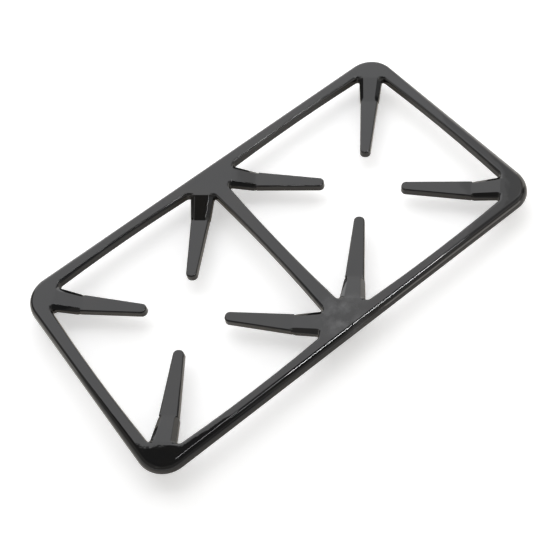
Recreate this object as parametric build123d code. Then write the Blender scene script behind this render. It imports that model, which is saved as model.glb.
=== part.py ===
"""Two-burner pan support for a gas hob: one enamelled iron casting.

Millimetres, +Z up. X runs along the long rails, the bottom of the feet is Z = 0
and the centre of the plan is the origin.
"""
import math
import os

from build123d import *

# Overall plan size, taken at the foot of the drafted outer wall
overall_length = 475.0
overall_width = 257.0

# Frame section
rail_depth = 9.5
rail_width = 12.6
rail_flare = 2.0
outer_draft = 15.5
inner_draft = 6.0
corner_radius = 27.0
outer_edge_radius = 5.0
inner_edge_radius = 3.0
under_edge_radius = 1.5

# Crossbar, off the middle so that one cell takes the larger burner
bar_width = 13.2
bar_offset = -5.0

# Plates across the cell corners, each measured in from the corner along the diagonal
plate_depth = 18.5
notch_radius = 5.0

# Fingers: tip measured from the cell centre, ramp from the edge of the plate
tip_reach = 40.5
ramp_run = 28.0
bend_run = 4.0
bend_lap = 3.0
plate_lap = 9.0
finger_drop = 6.8
finger_depth = 8.8
finger_seat = 0.3
flat_width = 18.8
tip_width = 10.4
tip_corner_radius = 5.0
finger_draft = 3.0
finger_edge_radius = 1.6

# Ramp section: flat top, sloped shoulders, steep foot; it widens from the bend to the root
shoulder_drop = 2.7
bend_top_width = 12.5
bend_shoulder_width = 20.4
bend_foot_width = 22.0
root_top_width = 15.5
root_shoulder_width = 25.0
root_foot_width = 26.0
root_radius = 3.0

# Feet under the plates
foot_height = 18.5
foot_inset = 19.0
foot_radius = 6.0
foot_draft = 5.0
foot_lap = 1.0
foot_edge_radius = 1.0

# Derived levels and plan sizes
rail_under = foot_height
rail_top = rail_under + rail_depth
flat_top = rail_top - finger_drop
flat_under = flat_top - finger_depth
ramp_slope = finger_drop / ramp_run
outer_lean = rail_depth * math.tan(math.radians(outer_draft))
top_half_length = overall_length / 2 - outer_lean
top_half_width = overall_width / 2 - outer_lean
cell_end_x = top_half_length - rail_width
cell_half_y = top_half_width - rail_width
cell_half_xs = (
    (cell_end_x + bar_offset - bar_width / 2) / 2,
    (cell_end_x - bar_offset - bar_width / 2) / 2,
)
cell_centres = (cell_half_xs[0] - cell_end_x, cell_end_x - cell_half_xs[1])


def cell_outline(half_x):
    """Opening of one cell: bowed sides, each corner cut square to the diagonal."""
    half_y = cell_half_y
    corner_reach = math.hypot(half_x, half_y)
    along_x = half_x / corner_reach
    along_y = half_y / corner_reach
    plate_reach = corner_reach - plate_depth
    side_x = half_x - rail_flare
    side_y = half_y - rail_flare
    cut_x = (plate_reach - side_y * along_y) / along_x
    cut_y = (plate_reach - side_x * along_x) / along_y
    with BuildSketch() as sketch:
        with BuildLine():
            ThreePointArc((-cut_x, side_y), (0, half_y), (cut_x, side_y))
            Line((cut_x, side_y), (side_x, cut_y))
            ThreePointArc((side_x, cut_y), (half_x, 0), (side_x, -cut_y))
            Line((side_x, -cut_y), (cut_x, -side_y))
            ThreePointArc((cut_x, -side_y), (0, -half_y), (-cut_x, -side_y))
            Line((-cut_x, -side_y), (-side_x, -cut_y))
            ThreePointArc((-side_x, -cut_y), (-half_x, 0), (-side_x, cut_y))
            Line((-side_x, cut_y), (-cut_x, side_y))
        make_face()
        fillet(sketch.vertices(), notch_radius)
    return sketch.sketch


def make_frame():
    """Drafted rectangular frame with its crossbar, open through both cells."""
    with BuildPart() as frame:
        with BuildSketch(Plane.XY.offset(rail_under)):
            RectangleRounded(overall_length, overall_width, corner_radius + outer_lean)
        extrude(amount=rail_depth, taper=outer_draft)
        with BuildSketch(Plane.XY.offset(rail_top)):
            for centre, half_x in zip(cell_centres, cell_half_xs):
                with Locations((centre, 0)):
                    add(cell_outline(half_x))
        extrude(amount=-rail_depth, taper=inner_draft, mode=Mode.SUBTRACT)
        top_face = frame.faces().sort_by(Axis.Z)[-1]
        under_face = frame.faces().sort_by(Axis.Z)[0]
        outer_loop = top_face.outer_wire().edges()
        inner_loops = ShapeList([e for w in top_face.inner_wires() for e in w.edges()])
        under_edges = under_face.edges()
        fillet(outer_loop, outer_edge_radius)
        fillet(inner_loops, inner_edge_radius)
        fillet(under_edges, under_edge_radius)
    return frame.part


def finger_section(reach, top, under, top_width, shoulder_width, foot_width):
    """Cross-section of a finger with sloped shoulders and rounded edges, square to its length."""
    plane = Plane(origin=(reach, 0, 0), x_dir=(0, 1, 0), z_dir=(1, 0, 0))
    with BuildSketch(plane) as section:
        with BuildLine():
            Polyline(
                (-top_width / 2, top),
                (top_width / 2, top),
                (shoulder_width / 2, top - shoulder_drop),
                (foot_width / 2, under),
                (-foot_width / 2, under),
                (-shoulder_width / 2, top - shoulder_drop),
                close=True,
            )
        make_face()
        fillet(section.vertices(), finger_edge_radius)
    return section.sketch


def make_flat(bend_reach):
    """Level, tapered part of a finger, with a tail that runs into the ramp."""
    tail_width = bend_top_width - 2 * finger_edge_radius
    with BuildPart() as flat:
        with BuildSketch(Plane.XY.offset(flat_top)) as plan:
            with BuildLine():
                Polyline(
                    (tip_reach, tip_width / 2),
                    (bend_reach, flat_width / 2),
                    (bend_reach + bend_lap, tail_width / 2),
                    (bend_reach + bend_lap, -tail_width / 2),
                    (bend_reach, -flat_width / 2),
                    (tip_reach, -tip_width / 2),
                    close=True,
                )
            make_face()
            fillet(plan.vertices().sort_by(Axis.X)[:2], tip_corner_radius)
        extrude(amount=-finger_depth, taper=-finger_draft)
        fillet(flat.faces().sort_by(Axis.Z)[-1].edges(), finger_edge_radius)
        fillet(flat.faces().sort_by(Axis.Z)[0].edges(), finger_edge_radius)
    return flat.part


def ramp_station(bend_reach, run):
    """Section of the ramp at a run past the bend, flared by a quarter round into the plate."""
    share = (run - bend_run) / (ramp_run - bend_run)
    into = max(0.0, run - ramp_run + root_radius)
    flare = root_radius - math.sqrt(root_radius**2 - into**2)
    rise = run * ramp_slope
    return finger_section(
        bend_reach + run,
        flat_top + rise,
        flat_under + rise,
        bend_top_width + share * (root_top_width - bend_top_width) + flare,
        bend_shoulder_width + share * (root_shoulder_width - bend_shoulder_width) + 2 * flare,
        bend_foot_width + share * (root_foot_width - bend_foot_width) + 2 * flare,
    )


def make_ramp(bend_reach):
    """Ramp from the bend up to the plate, seated in the flat below and the plate above."""
    start_width = flat_width - 4 * finger_seat
    full_width = root_foot_width + 2 * root_radius
    sections = [
        finger_section(
            bend_reach - bend_lap,
            flat_top - bend_lap * ramp_slope,
            flat_under + finger_seat,
            start_width - 2 * finger_edge_radius,
            start_width,
            start_width,
        )
    ]
    for run in (bend_run, ramp_run - root_radius):
        sections.append(ramp_station(bend_reach, run))
    for turn in (35, 60, 80):
        into = root_radius * math.sin(math.radians(turn))
        sections.append(ramp_station(bend_reach, ramp_run - root_radius + into))
    sections.append(
        finger_section(
            bend_reach + ramp_run + plate_lap,
            rail_top,
            flat_under + finger_drop,
            root_top_width + root_radius,
            root_shoulder_width + 2 * root_radius,
            full_width,
        )
    )
    with BuildPart() as ramp:
        loft(sections, ruled=True)
    return ramp.part


def make_finger(half_x):
    """One finger along +X from the cell centre: level flat, bend, ramp and root."""
    bend_reach = math.hypot(half_x, cell_half_y) - plate_depth - ramp_run
    return make_flat(bend_reach) + make_ramp(bend_reach)


def make_foot():
    """Short drafted foot, standing on Z = 0 and let into the underside of a plate."""
    height = foot_height + foot_lap
    upper_radius = foot_radius + height * math.tan(math.radians(foot_draft))
    with BuildPart() as foot:
        Cone(foot_radius, upper_radius, height, align=(Align.CENTER, Align.CENTER, Align.MIN))
        fillet(foot.faces().sort_by(Axis.Z)[0].edges(), foot_edge_radius)
    return foot.part


def make_support():
    """Frame, eight fingers and six feet as one casting."""
    casting = make_frame()
    for centre, half_x in zip(cell_centres, cell_half_xs):
        finger = make_finger(half_x)
        diagonal = math.degrees(math.atan2(cell_half_y, half_x))
        for angle in (diagonal, 180 - diagonal, 180 + diagonal, -diagonal):
            casting += Pos(centre, 0, 0) * Rot(0, 0, angle) * finger
    foot = make_foot()
    foot_x = top_half_length - foot_inset
    foot_y = top_half_width - foot_inset
    for x in (-foot_x, bar_offset, foot_x):
        for y in (-foot_y, foot_y):
            casting += Pos(x, y, 0) * foot
    return casting


os.makedirs("parts", exist_ok=True)
support = make_support()
support.label = "pan_support"
export_step(support, "parts/pan_support.step")
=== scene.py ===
import math

import bmesh
import bpy
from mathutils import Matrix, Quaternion, Vector


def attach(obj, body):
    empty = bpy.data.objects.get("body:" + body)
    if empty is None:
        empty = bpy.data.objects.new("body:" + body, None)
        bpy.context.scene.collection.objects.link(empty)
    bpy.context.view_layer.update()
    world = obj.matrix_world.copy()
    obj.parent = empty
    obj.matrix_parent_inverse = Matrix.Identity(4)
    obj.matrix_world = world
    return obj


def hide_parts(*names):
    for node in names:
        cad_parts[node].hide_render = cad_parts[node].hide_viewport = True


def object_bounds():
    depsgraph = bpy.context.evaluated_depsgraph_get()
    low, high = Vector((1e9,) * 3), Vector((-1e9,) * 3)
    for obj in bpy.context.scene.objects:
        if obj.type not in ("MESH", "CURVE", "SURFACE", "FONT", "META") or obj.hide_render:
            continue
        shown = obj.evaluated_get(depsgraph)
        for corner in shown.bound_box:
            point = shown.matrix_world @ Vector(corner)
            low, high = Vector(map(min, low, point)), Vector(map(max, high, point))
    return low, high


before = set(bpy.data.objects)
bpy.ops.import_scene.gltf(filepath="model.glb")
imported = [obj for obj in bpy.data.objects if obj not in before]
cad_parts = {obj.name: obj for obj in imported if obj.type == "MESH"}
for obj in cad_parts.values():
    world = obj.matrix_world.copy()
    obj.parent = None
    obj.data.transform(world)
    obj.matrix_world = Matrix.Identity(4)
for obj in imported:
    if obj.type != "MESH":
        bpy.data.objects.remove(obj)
cadBox = [list(corner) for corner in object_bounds()]
scene = bpy.context.scene
print("stage: frame loaded")


def newNode(tree, kind, where, **values):
    node = tree.nodes.new(kind)
    node.location = where
    for name, value in values.items():
        if name in node.inputs:
            node.inputs[name].default_value = value
        else:
            setattr(node, name, value)
    return node


def newSpan(tree, where, source, target=(0.0, 1.0), **values):
    ends = {"From Min": source[0], "From Max": source[1], "To Min": target[0], "To Max": target[1]}
    return newNode(tree, "ShaderNodeMapRange", where, **ends, **values)


# the enamel: near-black glass over iron, glossy, with a faint orange peel and soft lumps
enamel = {
    "ior": 1.50,
    "black": (0.0030, 0.0030, 0.0032, 1.0),
    "brown": (0.0075, 0.0060, 0.0045, 1.0),
    "patchScale": 24.0,
    "patchDetail": 4.0,
    "patchRough": 0.6,
    "patchSpan": (0.45, 0.75),
    "bloom": (0.070, 0.070, 0.072, 1.0),     # dull grey patches on the middle front plate
    "bloomPlace": (-0.005, -0.107, 0.028),
    "bloomReach": (0.010, 0.030),
    "bloomScale": 75.0,
    "bloomDetail": 3.0,
    "bloomSpan": (0.42, 0.70),
    "rough": (0.015, 0.035),
    "hazeScale": 90.0,
    "hazeDetail": 3.0,
    "hazeSpan": (0.3, 0.7),
    "lumpScale": 55.0,
    "lumpDetail": 1.0,
    "lumpDepth": 0.00010,
    "peelScale": 420.0,
    "peelDetail": 2.0,
    "peelDepth": 0.00001,
}


def makeEnamel():
    mat = bpy.data.materials.new("blackEnamel")
    mat.use_nodes = True
    tree = mat.node_tree
    tree.nodes.clear()
    link = tree.links.new
    out = newNode(tree, "ShaderNodeOutputMaterial", (900, 0))
    glass = newNode(tree, "ShaderNodeBsdfPrincipled", (600, 0), IOR=enamel["ior"])
    place = newNode(tree, "ShaderNodeTexCoord", (-900, 0))

    def newNoise(name, where, **values):
        noise = newNode(tree, "ShaderNodeTexNoise", where, Scale=enamel[name + "Scale"],
                        Detail=enamel[name + "Detail"], **values)
        link(place.outputs["Object"], noise.inputs["Vector"])
        return noise

    # patchy depth of the coat, seen as a slight change of black
    patch = newNoise("patch", (-600, 300), Roughness=enamel["patchRough"])
    spread = newSpan(tree, (-100, 300), enamel["patchSpan"])
    tone = newNode(tree, "ShaderNodeMix", (200, 300), data_type="RGBA")
    tone.inputs["A"].default_value = enamel["black"]
    tone.inputs["B"].default_value = enamel["brown"]
    link(patch.outputs["Fac"], spread.inputs["Value"])
    link(spread.outputs["Result"], tone.inputs["Factor"])

    # bloom: scuffed grey patches, strongest at one place and fading outwards
    away = newNode(tree, "ShaderNodeVectorMath", (-600, 600), operation="DISTANCE")
    away.inputs[1].default_value = enamel["bloomPlace"]
    fade = newSpan(tree, (-350, 600), enamel["bloomReach"], (1.0, 0.0))
    cloud = newNoise("bloom", (-600, 850))
    wisps = newSpan(tree, (-350, 850), enamel["bloomSpan"])
    share = newNode(tree, "ShaderNodeMath", (-100, 700), operation="MULTIPLY")
    scuff = newNode(tree, "ShaderNodeMix", (400, 450), data_type="RGBA")
    scuff.inputs["B"].default_value = enamel["bloom"]
    link(place.outputs["Object"], away.inputs[0])
    link(away.outputs["Value"], fade.inputs["Value"])
    link(cloud.outputs["Fac"], wisps.inputs["Value"])
    link(fade.outputs["Result"], share.inputs[0])
    link(wisps.outputs["Result"], share.inputs[1])
    link(share.outputs["Value"], scuff.inputs["Factor"])
    link(tone.outputs["Result"], scuff.inputs["A"])
    link(scuff.outputs["Result"], glass.inputs["Base Color"])

    # gloss that varies a little from spot to spot
    haze = newNoise("haze", (-600, 50))
    gloss = newSpan(tree, (-100, 50), enamel["hazeSpan"], enamel["rough"])
    link(haze.outputs["Fac"], gloss.inputs["Value"])
    link(gloss.outputs["Result"], glass.inputs["Roughness"])

    # lumps from the casting below, orange peel of the fired coat on top
    lump = newNoise("lump", (-600, -250))
    peel = newNoise("peel", (-600, -500))
    lumpBump = newNode(tree, "ShaderNodeBump", (100, -250), Strength=1.0, Distance=enamel["lumpDepth"])
    peelBump = newNode(tree, "ShaderNodeBump", (350, -350), Strength=1.0, Distance=enamel["peelDepth"])
    link(lump.outputs["Fac"], lumpBump.inputs["Height"])
    link(peel.outputs["Fac"], peelBump.inputs["Height"])
    link(lumpBump.outputs["Normal"], peelBump.inputs["Normal"])
    link(peelBump.outputs["Normal"], glass.inputs["Normal"])
    link(glass.outputs["BSDF"], out.inputs["Surface"])
    return mat


# the outer top edge: the solid's round, drawn out to a broader one on the near side
rim = {
    "lean": 0.002162,                # from the widest point in to the top outline before rounding
    "corner": 0.027,
    "draft": 15.5,
    "solidRound": 0.0050,
    "round": 0.0075,
    "nearFar": (-0.10, 0.10),        # full round on the near side, none added on the far side
    "slack": 0.00004,
    "turnSlack": 0.01,
}


def softenRim(skin):
    sweep = math.radians(90.0 - rim["draft"])
    setBack = math.tan(sweep / 2)
    near, far = rim["nearFar"]
    widest = cadBox[1]
    moved = 0
    for vert in skin.verts:
        # way out to the rim: along the diagonal in a corner, square to the side elsewhere
        over = [abs(vert.co[k]) - widest[k] + rim["lean"] + rim["corner"] for k in (0, 1)]
        if min(over) > 0:
            reach = math.hypot(*over)
            out = (over[0] / reach, over[1] / reach)
        else:
            reach = max(over)
            out = (float(over[0] > over[1]), float(over[0] <= over[1]))
        across = reach - rim["corner"] + rim["solidRound"] * setBack
        above = vert.co.z - widest[2] + rim["solidRound"]
        turn = math.atan2(across, above)
        onRound = abs(math.hypot(across, above) - rim["solidRound"]) < rim["slack"]
        if not onRound or not -rim["turnSlack"] < turn < sweep + rim["turnSlack"]:
            continue
        # each point keeps its angle on the round
        share = min(1.0, max(0.0, (far - vert.co.y) / (far - near)))
        gain = (rim["round"] - rim["solidRound"]) * share * share * (3.0 - 2.0 * share)
        outward = gain * (math.sin(turn) - setBack)
        vert.co.x += outward * out[0] * math.copysign(1.0, vert.co.x)
        vert.co.y += outward * out[1] * math.copysign(1.0, vert.co.y)
        vert.co.z += gain * (math.cos(turn) - 1.0)
        moved += 1
    print("stage: rim rounded,", moved, "points")


# the casting itself: the CAD solid's skin, welded so that its rounded edges shade smoothly
casting = {
    "node": "pan_support",
    "weld": 0.00001,
    "smoothAngle": 32.0,
    "flatWeight": 90,                # how far the flats hold their shading against the rounds
}


def makeCasting():
    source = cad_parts[casting["node"]]
    mesh = bpy.data.meshes.new("enamelledCasting")
    skin = bmesh.new()
    skin.from_mesh(source.data)
    bmesh.ops.remove_doubles(skin, verts=skin.verts, dist=casting["weld"])
    softenRim(skin)
    for face in skin.faces:
        face.smooth = True
    for edge in skin.edges:
        edge.smooth = edge.calc_face_angle(math.pi) < math.radians(casting["smoothAngle"])
    skin.to_mesh(mesh)
    skin.free()
    piece = bpy.data.objects.new("enamelledCasting", mesh)
    scene.collection.objects.link(piece)
    mesh.materials.append(makeEnamel())
    weight = piece.modifiers.new("evenNormals", "WEIGHTED_NORMAL")
    weight.keep_sharp = True
    weight.weight = casting["flatWeight"]
    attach(piece, "root")
    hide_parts(casting["node"])
    return piece


support = makeCasting()
print("stage: casting dressed,", len(support.data.polygons), "faces")


# white table: lit by the lamps so that it holds the shadow, lifted to white for the camera
table = {
    "half": 12.0,
    "colour": (0.90, 0.90, 0.90, 1.0),
    "glow": 0.41,
    "farGlow": 1.0,
    "farFrom": (0.9, 2.6),                 # distance over which the table turns plain white
    "mirrored": (1.0, 0.84, 0.60, 1.0),    # warm light of the room, seen only in the enamel
    "mirroredGlow": 0.22,
}


def makeTable():
    mesh = bpy.data.meshes.new("table")
    top = bmesh.new()
    bmesh.ops.create_grid(top, x_segments=1, y_segments=1, size=table["half"])
    top.to_mesh(mesh)
    top.free()
    obj = bpy.data.objects.new("table", mesh)
    scene.collection.objects.link(obj)
    mat = bpy.data.materials.new("whiteTable")
    mat.use_nodes = True
    tree = mat.node_tree
    tree.nodes.clear()
    link = tree.links.new
    out = newNode(tree, "ShaderNodeOutputMaterial", (850, 0))
    paint = newNode(tree, "ShaderNodeBsdfDiffuse", (0, 100), Color=table["colour"])

    # what the camera sees on top of the paint: a lift to white that grows with distance
    place = newNode(tree, "ShaderNodeTexCoord", (-700, -50))
    away = newNode(tree, "ShaderNodeVectorMath", (-500, -50), operation="LENGTH")
    lift = newSpan(tree, (-250, -50), table["farFrom"], (table["glow"], table["farGlow"]))
    glow = newNode(tree, "ShaderNodeEmission", (0, -100))
    link(place.outputs["Object"], away.inputs[0])
    link(away.outputs["Value"], lift.inputs["Value"])
    link(lift.outputs["Result"], glow.inputs["Strength"])

    # what the enamel mirrors, and nothing for the light that bounces about
    warm = newNode(tree, "ShaderNodeEmission", (0, -250), Color=table["mirrored"],
                   Strength=table["mirroredGlow"])
    dark = newNode(tree, "ShaderNodeEmission", (0, -400), Strength=0.0)
    ray = newNode(tree, "ShaderNodeLightPath", (-400, -300))
    toEye = newNode(tree, "ShaderNodeMixShader", (250, -250))
    toGloss = newNode(tree, "ShaderNodeMixShader", (450, -150))
    both = newNode(tree, "ShaderNodeAddShader", (650, 0))
    link(ray.outputs["Is Camera Ray"], toEye.inputs["Fac"])
    link(dark.outputs["Emission"], toEye.inputs[1])
    link(glow.outputs["Emission"], toEye.inputs[2])
    link(ray.outputs["Is Glossy Ray"], toGloss.inputs["Fac"])
    link(toEye.outputs["Shader"], toGloss.inputs[1])
    link(warm.outputs["Emission"], toGloss.inputs[2])
    link(paint.outputs["BSDF"], both.inputs[0])
    link(toGloss.outputs["Shader"], both.inputs[1])
    link(both.outputs["Shader"], out.inputs["Surface"])
    mesh.materials.append(mat)


makeTable()

# lamps and cards round the casting: a bearing is in degrees from +Y towards +X
tints = {"cool": (0.995, 1.0, 1.015), "warm": (1.0, 0.955, 0.88)}
lamps = {
    # name: bearing, distance, shift to the right, height, tilt down, (wide, tall), radiance, tint
    "backBox": (27.5, 1.285, -0.39, 1.10, 59.3, (1.82, 1.95), 1.90, "cool"),
    "backMid": (27.5, 1.285, 0.58, 1.10, 59.3, (0.12, 1.95), 1.50, "cool"),
    "backRight": (27.5, 1.285, 0.97, 1.10, 59.3, (0.66, 1.95), 1.10, "cool"),
    "backLow": (35, 2.20, 0.0, 0.32, 0, (3.6, 0.60), 1.40, "cool"),
    "backLeft": (-8, 2.00, 0.0, 0.62, 0, (0.7, 1.20), 1.10, "cool"),
    "rightLow": (80, 1.70, 0.0, 0.50, 10, (1.2, 0.95), 1.55, "warm"),
    "rightHigh": (100, 1.00, 0.35, 1.15, 50, (1.3, 1.00), 0.45, "cool"),
    "nearCard": (145, 1.45, 0.0, 0.62, 25, (1.7, 1.20), 0.42, "warm"),
    "nearRight": (150, 1.30, 0.0, 0.25, 0, (0.6, 0.50), 1.75, "warm"),
    "behindCard": (-145, 1.60, 0.0, 0.80, 25, (2.2, 1.60), 0.22, "warm"),
    "leftCard": (-78, 1.50, 0.0, 0.80, 25, (2.0, 1.60), 0.27, "warm"),
    "leftLow": (-50, 1.75, 0.0, 0.15, 0, (0.8, 0.60), 1.20, "warm"),
    "overStrip": (0, -0.36, 0.44, 1.50, 90, (0.56, 0.05), 85.0, "cool"),
    "overStripLeft": (0, -0.36, 0.08, 1.50, 90, (0.16, 0.05), 20.0, "cool"),
    "overStripRight": (0, -0.36, 0.76, 1.50, 90, (0.08, 0.05), 20.0, "cool"),
    "overFarLeft": (0, 0.12, -0.10, 1.50, 90, (0.22, 0.05), 20.0, "cool"),
}
# these draw the thin lines on the edges and add nothing to the table
glossOnly = ("overStrip", "overStripLeft", "overStripRight", "overFarLeft")


def makeLamps():
    for name, (bearing, distance, shift, height, tilt, size, radiance, tint) in lamps.items():
        data = bpy.data.lights.new(name, "AREA")
        data.shape = "RECTANGLE"
        data.size, data.size_y = size
        data.energy = radiance * math.pi * size[0] * size[1]
        data.color = tints[tint]
        obj = bpy.data.objects.new(name, data)
        scene.collection.objects.link(obj)
        turn = math.radians(bearing)
        out = Vector((math.sin(turn), math.cos(turn), 0.0))
        right = Vector((math.cos(turn), -math.sin(turn), 0.0))
        obj.location = out * distance + right * shift + Vector((0.0, 0.0, height))
        obj.rotation_euler = (math.radians(90 - tilt), 0.0, math.pi - turn)
        obj.visible_diffuse = name not in glossOnly


# the room: white round the horizon, dim overhead, so that the enamel keeps its blacks
room = {
    "colour": (1.0, 1.0, 1.0, 1.0),
    "horizon": 1.0,
    "overhead": 0.18,
    "fade": (0.08, 0.34),
}


def makeWorld():
    world = bpy.data.worlds.new("studio")
    scene.world = world
    world.use_nodes = True
    tree = world.node_tree
    link = tree.links.new
    sky = tree.nodes["Background"]
    sky.inputs["Color"].default_value = room["colour"]
    place = newNode(tree, "ShaderNodeTexCoord", (-700, 0))
    split = newNode(tree, "ShaderNodeSeparateXYZ", (-500, 0))
    fall = newSpan(tree, (-250, 0), room["fade"], (room["horizon"], room["overhead"]),
                   interpolation_type="SMOOTHSTEP")
    link(place.outputs["Generated"], split.inputs["Vector"])
    link(split.outputs["Z"], fall.inputs["Value"])
    link(fall.outputs["Result"], sky.inputs["Strength"])


makeLamps()
makeWorld()
print("stage: table and lamps set")

# the camera, fitted to the edges of the frame
view = {
    "place": (-0.22116, -0.44039, 0.78694),
    "aim": (-0.02566, -0.02995, 0.02800),
    "roll": -14.03,
    "lens": 58.662,
    "sensor": 36.0,
}


def makeCamera():
    data = bpy.data.cameras.new("camera")
    data.sensor_width = view["sensor"]
    data.lens = view["lens"]
    obj = bpy.data.objects.new("camera", data)
    scene.collection.objects.link(obj)
    obj.location = view["place"]
    straight = (Vector(view["aim"]) - obj.location).to_track_quat("-Z", "Y")
    turn = Quaternion((0, 0, 1), math.radians(view["roll"]))
    obj.rotation_euler = (straight @ turn).to_euler()
    scene.camera = obj


makeCamera()
scene.view_settings.view_transform = "Standard"
print("stage: camera set")
